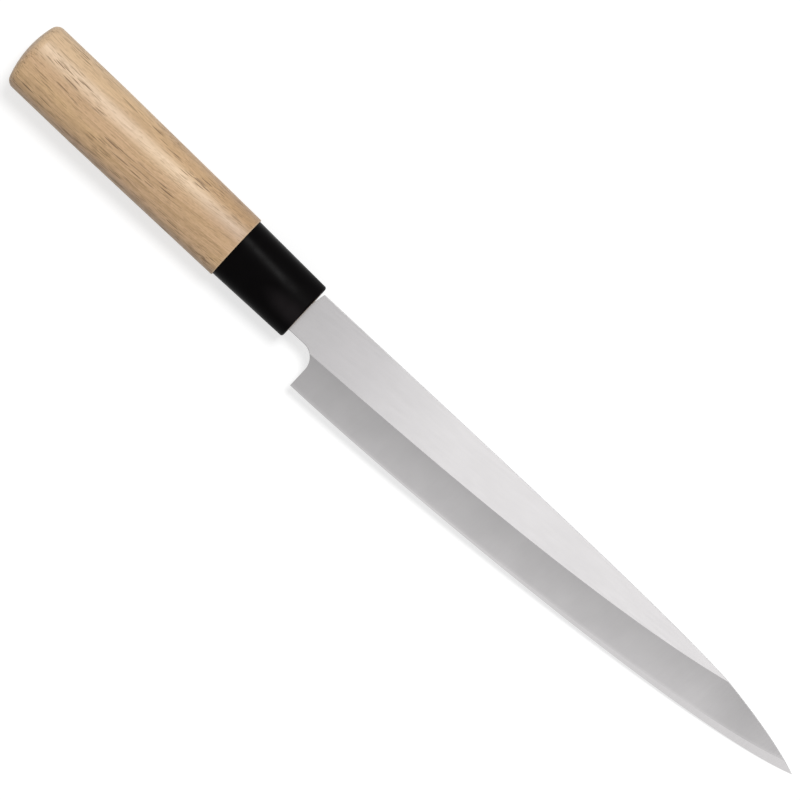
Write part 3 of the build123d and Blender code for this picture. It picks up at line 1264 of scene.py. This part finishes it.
@dataclass(frozen=True)
class GroundSteel:
    """A ground steel face.

    Attributes:
        name: the material's name.
        tone: linear grey of the steel as it reflects.
        rough: its roughness.
        turn: angle of the grinding lines to the knife's length, in degrees.
        depth: strength of those lines in the bump.
        fine, coarse: weights of the two sizes of line.
        cloud, cloud_size: how much the tone varies in patches, and their size in millimetres.
        neck_painted_shade, tip_tone: shares of the tone that are left at the collar, as painted shade, and
            at the point.
        rise: tone at the upper end of the face, as a share of that at its lower end.
        edge_tone: tone at the very lower end, as a share of that just above it.
        line_tone: how much the grinding lines vary the tone.
        tint: green and blue, as shares of red.
        grain: how much of the patches is grain.
        neck_shade_span, tip_span: X over which the neck's painted shade and the tip's tone change.
        edge_span: share of the face over which the lower end's tone changes.
        line_span: the lines' heights between which tone and roughness change.
        rough_spread: how much the lines vary the roughness.
        bump_depth: of the lines, in millimetres.
        seam: taken off the share, so that a face's upper end isn't the next one's start.
    """

    name: str
    tone: float
    rough: float
    turn: float
    depth: float = 0.25
    fine: float = 1.0
    coarse: float = 0.6
    cloud: float = 0.05
    cloud_size: float = 12.0
    neck_painted_shade: float = 1.0
    tip_tone: float = 1.0
    rise: float = 1.0
    edge_tone: float = 1.0
    line_tone: float = 0.02
    tint: Span = (0.976, 0.984)
    grain: float = 0.15
    neck_shade_span: Span = (-4.0, 74.0)
    tip_span: Span = (180.0, 197.0)
    edge_span: Span = (0.0, 0.09)
    line_span: Span = (0.3, 0.7)
    rough_spread: float = 0.1
    bump_depth: float = 0.01
    seam: float = 0.0005

    def wire(self, w: Dressing) -> None:
        """Wires tone, roughness and grinding lines.

        Args:
            w: the material in the making.
        """
        height = w.lines(self.turn, self.fine, self.coarse)
        cloud = w.clouds(self.cloud_size, self.grain)
        share = w.node("Attribute", attribute_name="share").outputs["Fac"]
        share = w.maths("FRACT", w.maths("SUBTRACT", share, self.seam))
        x = w.parts(w.own)[0]
        lines = (1 - self.line_tone, 1 + self.line_tone)
        level = w.product(
            # painted shade: the steel's tone falls towards the collar
            w.span(x, *self.neck_shade_span, self.neck_painted_shade, 1.0),
            w.span(x, *self.tip_span, 1.0, self.tip_tone),
            w.span(share, 0.0, 1.0, 1.0, self.rise, smooth=False),
            w.span(share, *self.edge_span, self.edge_tone, 1.0),
            w.span(cloud, 0.0, 1.0, 1 - self.cloud, 1.0, smooth=False),
            w.span(height, *self.line_span, *lines, smooth=False),
            self.tone,
        )
        green, blue = (w.product(level, part) for part in self.tint)
        colour = w.node("CombineColor", {0: level, 1: green, 2: blue}).outputs[0]
        roughs = (self.rough * (1 - self.rough_spread), self.rough * (1 + self.rough_spread))
        rough = w.span(height, *self.line_span, *roughs, smooth=False)
        w.shader.inputs["Metallic"].default_value = 1.0
        w.finish(colour, rough, height, self.depth, self.bump_depth)


@dataclass(frozen=True)
class Pores:
    """Dark streaks of one size.

    Attributes:
        length, width: of the cells that hold one streak each, in millimetres.
        share: share of the cells that have one.
        size: a streak's reach, as a share of its cell's.
        strength: how dark they are.
        shift: moves them, so that no two sizes are alike.
    """

    length: float
    width: float
    share: float
    size: float
    strength: float
    shift: Triple = (0.0, 0.0, 0.0)

    def lay(self, w: Dressing, place: Socket) -> Socket:
        """Lays the streaks.

        Args:
            w: the material in the making.
            place: the place along the grain.

        Returns:
            0 between the streaks and up to their strength in them.
        """
        sizes = {"Length": self.length, "Width": self.width, "Share": self.share, "Size": self.size}
        inputs = {"Vector": w.vector(place, shift=self.shift), **sizes}
        return w.product(w.group(w.effects.streaks, inputs), self.strength)


@dataclass(frozen=True)
class Patch:
    """A part of the wood painted another tone, as a painted highlight or painted shade.

    Attributes:
        tone: the colour that is mixed in.
        share: how much of it.
        spans: axis, low, high, start and end of smooth ramps that are multiplied together.
        blend: the kind of mix.
    """

    tone: Colour
    share: float
    spans: tuple
    blend: str = "MIX"

    def lay(self, w: Wiring, place: Outputs, colour: Socket) -> Socket:
        """Lays the patch on a colour, by the place's X, Y and Z."""
        ramps = [w.span(place[axis], *ramp) for axis, *ramp in self.spans]
        return w.mix(w.product(*ramps, self.share), colour, self.tone, self.blend)


@dataclass(frozen=True)
class PaleWood:
    """Sanded pale wood with soft rings, fine fibres and short dark pores along the knife.

    Attributes:
        name: the material's name.
        light, dark, rose, pore: linear colours of the early wood, of the late wood, of its
            warmer patches and of the pores.
        ring_spacing, pith: from ring to ring, and the rings' middle.
        bow, bow_middle: how fast the grain bends away from a straight line, and from which X.
        waver, waver_reach: the grain's slow wander, and how far it goes across and through.
        ripple, ripple_reach: how uneven the rings are, and by what part of a ring.
        late_start, late_end: part of each ring over which the late wood comes and goes.
        late_share: how dark the late wood is.
        broad, fibre, fleck, hair: the grain's sizes.
        blush: the warmer patches.
        clump: where the large pores stand together.
        large, small, long: the pores.
        fibre_span, fibre_rough: the fibres' values between which they vary the roughness.
        pore_rough: what a pore adds to the roughness.
        fibre_rise: how far the fibres stand up, as a share of the pores' depth.
        patches: painted highlights, paler along the ridge and on the upper side towards the butt, and
            painted shade, deeper on the upper side at the collar and darker along the lower side.
        arris: a painted highlight, paler along the cut edge at the collar.
        end_turn, end_share, end_tone: how far a face has to look along the knife to show end
            grain, and how much and how dark that is.
        gloss: the shader's specular level.
        bump_strength, bump_depth: of pores and fibres. The depth is millimetres.
    """

    name: str = "pale_wood"
    light: Colour = (0.735, 0.488, 0.258)
    dark: Colour = (0.435, 0.268, 0.122)
    rose: Colour = (0.71, 0.468, 0.275)
    pore: Colour = (0.165, 0.090, 0.038)
    ring_spacing: float = 3.4
    pith: Triple = (0.0, -52.0, -46.0)
    bow: float = 0.0011
    bow_middle: float = -90.0
    waver: Layer = Layer((0.018, 0.05, 0.05))
    waver_reach: Span = (3.5, 3.0)
    ripple: Layer = Layer((0.012, 0.16, 0.16), detail=3.0, rough=0.55)
    ripple_reach: float = 1.6
    late_start: Span = (0.25, 0.86)
    late_end: Span = (0.92, 1.0)
    late_share: float = 0.27
    broad: Layer = Layer((0.008, 0.11, 0.11), (4, 1, 9), span=(0.3, 0.7), strengths=(0.0, 0.24))
    fibre: Layer = Layer((0.05, 2.6, 2.6), (0, 0, 0), 5.0, 0.62, (0.3, 0.72), (0.0, 0.42))
    fleck: Layer = Layer((0.75, 2.4, 2.4), (6, 2, 5), 2.0, 0.6, (0.3, 0.7), (-0.12, 0.14))
    hair: Layer = Layer((0.14, 7.5, 7.5), (0, 0, 0), 3.0, 0.6, (0.35, 0.7), (-0.08, 0.14))
    blush: Layer = Layer((0.02, 0.09, 0.09), (1, 5, 2), span=(0.4, 0.62))
    clump: Layer = Layer((0.03, 0.14, 0.14), (2, 8, 3), span=(0.42, 0.55), strengths=(0.18, 1.0))
    large: Pores = Pores(8.0, 0.50, 0.95, 0.41, 0.95)
    small: Pores = Pores(3.6, 0.42, 0.80, 0.38, 0.36, (31, 17, 5))
    long: Pores = Pores(22.0, 0.5, 0.5, 0.30, 0.42, (9, 40, 22))
    fibre_span: Span = (0.3, 0.7)
    fibre_rough: Span = (0.44, 0.52)
    pore_rough: float = 0.2
    fibre_rise: float = 0.5
    patches: tuple[Patch, ...] = (
        # painted highlight: a paler band along the ridge
        Patch(PAINTED_HIGHLIGHT, 0.42, ((1, 0.5, 4.2, 0, 1), (1, 6.4, 9.0, 1, 0))),
        # painted highlight: paler on the upper side towards the butt
        Patch(PAINTED_HIGHLIGHT, 0.42, ((0, -118, -58, 1, 0), (1, 5.5, 9.0, 0, 1))),
        # painted shade: darker on the upper side towards the collar
        Patch((0.74, 0.70, 0.68), 1.0, ((0, -62, -34, 0, 1), (1, -1, 4, 0, 1)), "MULTIPLY"),
        # painted shade: darker along the lower side
        Patch((0.75, 0.74, 0.75), 1.0, ((1, -11.2, -8.2, 1, 0),), "MULTIPLY"),
    )
    # painted highlight on the cut edge at the collar
    arris: Patch = Patch(PAINTED_HIGHLIGHT, 0.45, ((0, -31.5, -31.15, 0, 1),))
    end_turn: Span = (0.7, 0.97)
    end_share: float = 0.17
    end_tone: float = 0.72
    gloss: float = 0.8
    bump_strength: float = 0.5
    bump_depth: float = 0.06

    def wire(self, w: Dressing) -> None:
        """Wires rings about a far pith, fibres and pores into colour, roughness and bump.

        Args:
            w: the material in the making.
        """
        place = w.parts(w.own)
        grain = self._grain(w, place[0])
        fibre = self.fibre.noise(w, grain)
        colour = w.mix(self.blush.lay(w, grain), self.light, self.rose)
        colour = w.mix(self._depth(w, grain, fibre), colour, self.dark)
        # painted highlights and painted shade are laid on the wood's colour
        for patch in self.patches:
            colour = patch.lay(w, place, colour)
        pores = w.product(self.large.lay(w, grain), self.clump.lay(w, grain))
        for finer in (self.small, self.long):
            pores = w.maths("MAXIMUM", pores, finer.lay(w, grain))
        colour = self.arris.lay(w, place, w.mix(pores, colour, self.pore))
        along = w.maths("ABSOLUTE", w.parts(w.node("TexCoord").outputs["Normal"])[0])
        end = w.span(along, *self.end_turn, 0.0, self.end_share)
        colour = w.mix(end, colour, tuple(part * self.end_tone for part in self.dark))
        smooth = w.span(fibre, *self.fibre_span, *self.fibre_rough)
        rough = w.total(smooth, w.product(pores, self.pore_rough))
        height = w.maths("SUBTRACT", w.product(fibre, self.fibre_rise), pores)
        w.shader.inputs["Specular IOR Level"].default_value = self.gloss
        w.finish(colour, rough, height, self.bump_strength, self.bump_depth)

    def _grain(self, w: Dressing, x: Socket) -> Socket:
        """The place along the grain, which wavers, and bows by the square of X from a middle.

        Args:
            w: the material in the making.
            x: X.

        Returns:
            The place, moved across and through the knife.
        """
        waver = self.waver.noise(w, w.own)
        away = w.maths("ABSOLUTE", w.maths("SUBTRACT", x, self.bow_middle))
        arch = w.product(w.maths("POWER", away, 2.0), -self.bow)
        across, through = (w.product(waver, reach) for reach in self.waver_reach)
        shift = w.node("CombineXYZ", {1: w.total(across, arch), 2: through}).outputs[0]
        return w.node("VectorMath", {0: w.own, 1: shift}, operation="ADD").outputs[0]

    def _depth(self, w: Dressing, grain: Socket, fibre: Socket) -> Socket:
        """How deep the wood's tone is: late wood, broad bands, fibres, flecks and hairs together.

        The rings are circles about the pith, made uneven by the ripple.

        Args:
            w: the material in the making.
            grain: the place along the grain.
            fibre: the fibres' noise.

        Returns:
            0 for the light colour to 1 for the dark one.
        """
        off = w.parts(w.vector(grain, shift=tuple(-part for part in self.pith)))
        squares = w.total(*(w.maths("POWER", off[axis], 2.0) for axis in (1, 2)))
        turns = w.maths("DIVIDE", w.maths("POWER", squares, 0.5), self.ring_spacing)
        uneven = w.product(self.ripple.noise(w, grain), self.ripple_reach)
        ring = w.maths("FRACT", w.total(turns, uneven))
        comes = w.span(ring, *self.late_start, 0.0, 1.0)
        late = w.product(comes, w.span(ring, *self.late_end, 1.0, 0.0), self.late_share)
        fibres = w.span(fibre, *self.fibre.span, *self.fibre.strengths)
        deep = w.total(late, self.broad.lay(w, grain), fibres, self.fleck.lay(w, grain))
        return w.maths("ADD", deep, self.hair.lay(w, grain), clamp=True)


@dataclass(frozen=True)
class BlackPolish:
    """Polished black collar, with faint rubbing marks, a little cloudiness and a painted reflection near
    its front rim.

    Attributes:
        name: the material's name.
        tone: its linear colour.
        cloud_tone, cloud_share: how much paler than that its clouds are, and their strength.
        cloud_size, cloud_grain: size of the clouds in millimetres, and their share of grain.
        painted_reflection: the colour of a painted reflection, a paler patch near the front rim.
        reflection_middle, reflection_reach: place and half size of that patch.
        reflection_edge: where the patch starts to fade, as a share of its reach.
        reflection_thinnest: how much of it is left between the clouds.
        rubs: angle of the rubbing marks to the knife's length in degrees, and the weights of
            the fine and the coarse ones.
        rough, rub_rough: roughness between the clouds and in them, and what the marks add.
        front_along, front_rough: X over which it gets duller to the front, and by how much.
        gloss: the shader's specular level.
        bump_strength, bump_depth: of the marks. The depth is millimetres.
    """

    name: str = "black_collar"
    tone: Colour = (0.0014, 0.0011, 0.0012)
    cloud_tone: float = 1.9
    cloud_share: float = 0.5
    cloud_size: float = 5.0
    cloud_grain: float = 0.35
    painted_reflection: Colour = (0.0125, 0.0106, 0.0113)
    reflection_middle: Triple = (-3.5, -3.0, 10.0)
    reflection_reach: Triple = (14.0, 5.2, 9.0)
    reflection_edge: float = 0.1
    reflection_thinnest: float = 0.75
    rubs: Triple = (84.0, 1.0, 0.3)
    rough: Span = (0.28, 0.36)
    rub_rough: float = 0.05
    front_along: Span = (-15.0, -3.0)
    front_rough: float = 0.14
    gloss: float = 0.025
    bump_strength: float = 0.12
    bump_depth: float = 0.01

    def wire(self, w: Dressing) -> None:
        """Wires a near black with a painted reflection: a paler patch in an ellipsoid that fades from its
        middle.

        Args:
            w: the material in the making.
        """
        cloud = w.clouds(self.cloud_size, self.cloud_grain)
        rubs = w.lines(*self.rubs)
        # painted reflection: a paler patch near the front rim, strongest at its middle
        shift = tuple(-part / reach for part, reach in zip(self.reflection_middle, self.reflection_reach))
        scaled = w.vector(w.own, tuple(1 / reach for reach in self.reflection_reach), shift)
        away = w.node("VectorMath", {0: scaled}, operation="LENGTH").outputs["Value"]
        patch = w.span(away, self.reflection_edge, 1.0, 1.0, 0.0)
        painted_reflection = w.product(patch, w.span(cloud, 0.0, 1.0, self.reflection_thinnest, 1.0))
        paler = tuple(part * self.cloud_tone for part in self.tone)
        colour = w.mix(w.product(cloud, self.cloud_share), self.tone, paler)
        front = w.span(w.parts(w.own)[0], *self.front_along, 0.0, self.front_rough)
        clouded = w.span(cloud, 0.0, 1.0, *self.rough)
        rough = w.total(clouded, w.product(rubs, self.rub_rough), front)
        w.shader.inputs["Specular IOR Level"].default_value = self.gloss
        w.finish(w.mix(painted_reflection, colour, self.painted_reflection), rough, rubs, self.bump_strength, self.bump_depth)


@dataclass
class Piece:
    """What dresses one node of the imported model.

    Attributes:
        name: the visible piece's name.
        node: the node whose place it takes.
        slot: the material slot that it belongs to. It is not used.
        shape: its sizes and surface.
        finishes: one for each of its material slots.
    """

    name: str
    node: str
    slot: str
    shape: BladeShape | FerruleShape | HandleShape
    finishes: tuple[GroundSteel | BlackPolish | PaleWood, ...]

    def build(self, placing: Placing, effects: Effects) -> None:
        """Builds the piece with its finishes, in its node's place and on its body.

        Args:
            placing: how the knife lies in the frame.
            effects: the shared node groups.
        """
        materials = []
        for finish in self.finishes:
            w = Dressing.start(finish.name, placing, effects)
            finish.wire(w)
            materials.append(w.material)
        made = self.shape.skin().piece(self.name, placing, materials)
        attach(made, BODY)
        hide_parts(self.node)
        LOG.info("%s: %d faces", made.name, len(made.data.polygons))


@dataclass
class Blade(Piece):
    """The blade, whose ground faces each have a finish, in the order of Face."""

    shape: BladeShape
    finishes: tuple[GroundSteel, ...] = (
        # each neck_painted_shade below is painted shade, darker towards the collar
        GroundSteel(
            "steel_flat", 0.592, 0.22, 4.0, depth=0.04, neck_painted_shade=0.68, cloud=0.03, line_tone=0.008
        ),
        GroundSteel(
            "steel_wide_bevel", 0.447, 0.40, 84.0, depth=0.4, coarse=0.4, cloud=0.06,
            neck_painted_shade=0.87, rise=0.84, tip_tone=0.85, edge_tone=1.10,
        ),
        GroundSteel(
            "steel_edge_strip", 0.60, 0.34, 86.0, depth=0.35, coarse=0.3, cloud=0.03, neck_painted_shade=0.74
        ),
        GroundSteel("steel_back_rim", 0.62, 0.24, 3.0, depth=0.15),
        GroundSteel("steel_back_hollow", 0.52, 0.34, 88.0, depth=0.3, cloud=0.08),
        GroundSteel("steel_side", 0.36, 0.50, 2.0, depth=0.25),
    )


@dataclass
class Ferrule(Piece):
    """The black collar."""

    shape: FerruleShape
    finishes: tuple[BlackPolish, ...] = (BlackPolish(),)


@dataclass
class Handle(Piece):
    """The wooden grip."""

    shape: HandleShape
    finishes: tuple[PaleWood, ...] = (PaleWood(),)


@dataclass(frozen=True)
class Softbox:
    """A soft, far lamp whose light is the same all over the floor.

    Attributes:
        name: the lamp's name.
        lean, slant: how far it leans from square on to the blade, towards the spine and towards
            the tip, in degrees.
        spread: how wide it looks from the knife, in degrees.
        power: its strength, of which pi makes a facing white surface white.
        distance: from the knife, in metres, which changes nothing in the light.
    """

    name: str = "softbox"
    lean: float = 22.0
    slant: float = 2.0
    spread: float = 19.0
    power: float = 1.75
    distance: float = 3.0

    def build(self, placing: Placing) -> None:
        """Hangs the lamp, turned to shine down its own -Z on the knife.

        Args:
            placing: how the knife lies in the frame.
        """
        data = bpy.data.lights.new(self.name, "SUN")
        data.energy, data.angle = self.power, math.radians(self.spread)
        lamp = add(self.name, data)
        side, along = (math.tan(math.radians(turn)) for turn in (self.lean, self.slant))
        towards = placing.direction(along, side, 1.0)
        lamp.location = placing.point(0, 0, 0) + towards * self.distance
        lamp.rotation_mode = "QUATERNION"
        lamp.rotation_quaternion = towards.to_track_quat("Z", "Y")


@dataclass
class Studio:
    """A white floor, a white surround, a soft lamp and a long lens square on to the blade.

    Attributes:
        middle: what the camera looks at, in the knife's own axes.
        distance, width: of the camera from there, and what it sees there, in metres.
        roll: turn of the picture, in degrees.
        sensor: the camera's sensor, in millimetres.
        depths: the nearest and farthest that it sees, in metres.
        surround: how strongly the surround lights the knife. To the eye and in gloss it is 1.
        floor_reach: half the floor's side, in metres.
        floor_white, floor_glow: its paint, and what it glows with besides, to the eye and in
            gloss.
        lamp: the lamp.
    """

    middle: Triple = (42.9, 0.35, 2.8)
    distance: float = 3.0
    width: float = 0.2643
    roll: float = 43.0
    sensor: float = 36.0
    depths: Span = (0.1, 50.0)
    surround: float = 0.40
    floor_reach: float = 8.0
    floor_white: float = 0.45
    floor_glow: float = 0.65
    lamp: Softbox = Softbox()

    def build(self, placing: Placing) -> None:
        """Lays the floor, hangs the lamp and sets up the camera.

        Args:
            placing: how the knife lies in the frame.
        """
        self._world()
        self._floor()
        self._camera(placing)
        self.lamp.build(placing)
        bpy.context.scene.view_settings.view_transform = "Standard"

    def _seen(self, w: Wiring) -> Socket:
        """Tells light that is seen from light that only falls on something.

        Args:
            w: the wiring of the surround or of the floor.

        Returns:
            1 on the way to the eye, to gloss and through glass, and 0 elsewhere.
        """
        path = w.node("LightPath").outputs
        through = w.maths("MAXIMUM", path["Is Glossy Ray"], path["Is Transmission Ray"])
        return w.maths("MAXIMUM", path["Is Camera Ray"], through)

    def _world(self) -> None:
        """A surround that lights softly, and that camera and gloss see as white."""
        world = bpy.data.worlds.new("surround")
        w = Wiring.of(world)
        strength = w.span(self._seen(w), 0.0, 1.0, self.surround, 1.0, smooth=False)
        light = w.node("Background", {"Color": (1, 1, 1, 1), "Strength": strength})
        w.node("OutputWorld", {"Surface": light.outputs[0]})
        bpy.context.scene.world = world

    def _floor(self) -> None:
        """A wide white floor that keeps the knife's shadow."""
        mesh, reach = bpy.data.meshes.new("floor"), self.floor_reach
        corners = [(x * reach, y * reach, 0.0) for x, y in ((-1, -1), (1, -1), (1, 1), (-1, 1))]
        mesh.from_pydata(corners, [], [(0, 1, 2, 3)])
        material = bpy.data.materials.new("floor_white")
        w = Wiring.of(material)
        paint = w.node("BsdfDiffuse", {"Color": (self.floor_white,) * 3 + (1,)})
        strength = w.product(self._seen(w), self.floor_glow)
        glow = w.node("Emission", {"Color": (1, 1, 1, 1), "Strength": strength})
        both = w.node("AddShader", {0: paint.outputs[0], 1: glow.outputs[0]})
        w.node("OutputMaterial", {"Surface": both.outputs[0]})
        mesh.materials.append(material)
        floor = add("floor", mesh)
        floor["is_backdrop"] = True

    def _camera(self, placing: Placing) -> None:
        """A long lens square on to the blade, turned so that the tip points down to the right.

        Args:
            placing: how the knife lies in the frame.
        """
        data = bpy.data.cameras.new("camera")
        data.sensor_width = self.sensor
        data.lens = data.sensor_width * self.distance / self.width
        data.clip_start, data.clip_end = self.depths
        camera = add("camera", data)
        roll = math.radians(self.roll)
        right = placing.direction(math.cos(roll), math.sin(roll), 0)
        up = placing.direction(-math.sin(roll), math.cos(roll), 0)
        back = placing.direction(0, 0, 1)
        place = Matrix.Translation(placing.point(*self.middle) + back * self.distance)
        camera.matrix_world = place @ Matrix((right, up, back)).transposed().to_4x4()
        bpy.context.scene.camera = camera


def rest(blade: BladeShape, handle: HandleShape, cad: tuple) -> Placing:
    """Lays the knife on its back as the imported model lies.

    It rests on its tip and on the wood's lower edge at the collar, which set the tilt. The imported
    model's box gives the place: its end in X is the tip, its low side in Y the heel and its
    underside the wood's edge.

    Args:
        blade: the blade's sizes.
        handle: the handle's sizes.
        cad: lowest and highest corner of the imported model, in metres.

    Returns:
        The placing of the knife's own axes.
    """
    edge_x = -handle.lines.ferrule_length - handle.arris_radius
    fall = handle.underside(-handle.lines.ferrule_length)
    tilt = math.atan2(fall, blade.tip - edge_x)
    c, s = math.cos(tilt), math.sin(tilt)
    x = cad[1][0] - (c * blade.tip + s * blade.edge_thickness) * MM
    y = cad[0][1] - blade.heel_rise * MM
    z = cad[0][2] + (c * handle.underside(edge_x) + s * edge_x) * MM
    return Placing(tilt, (x, y, z))


def main() -> None:
    """Loads the frame, builds the knife's pieces in order and sets up the studio."""
    logging.basicConfig(level=logging.INFO, format="%(name)s: %(message)s")
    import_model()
    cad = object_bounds()
    effects = Effects()
    lines = GripLines()
    blade, ferrule, handle = BladeShape(), FerruleShape(lines), HandleShape(lines)
    placing = rest(blade, handle, cad)
    LOG.info("tilt %.5f degrees, origin %s", math.degrees(placing.tilt), placing.origin)
    Blade("knife_blade", "blade", "blade_steel", blade).build(placing, effects)
    Ferrule("black_ferrule", "ferrule", "black_collar", ferrule).build(placing, effects)
    Handle("wooden_grip", "handle", "pale_wood", handle).build(placing, effects)
    Studio().build(placing)


if __name__ == "__main__":
    main()
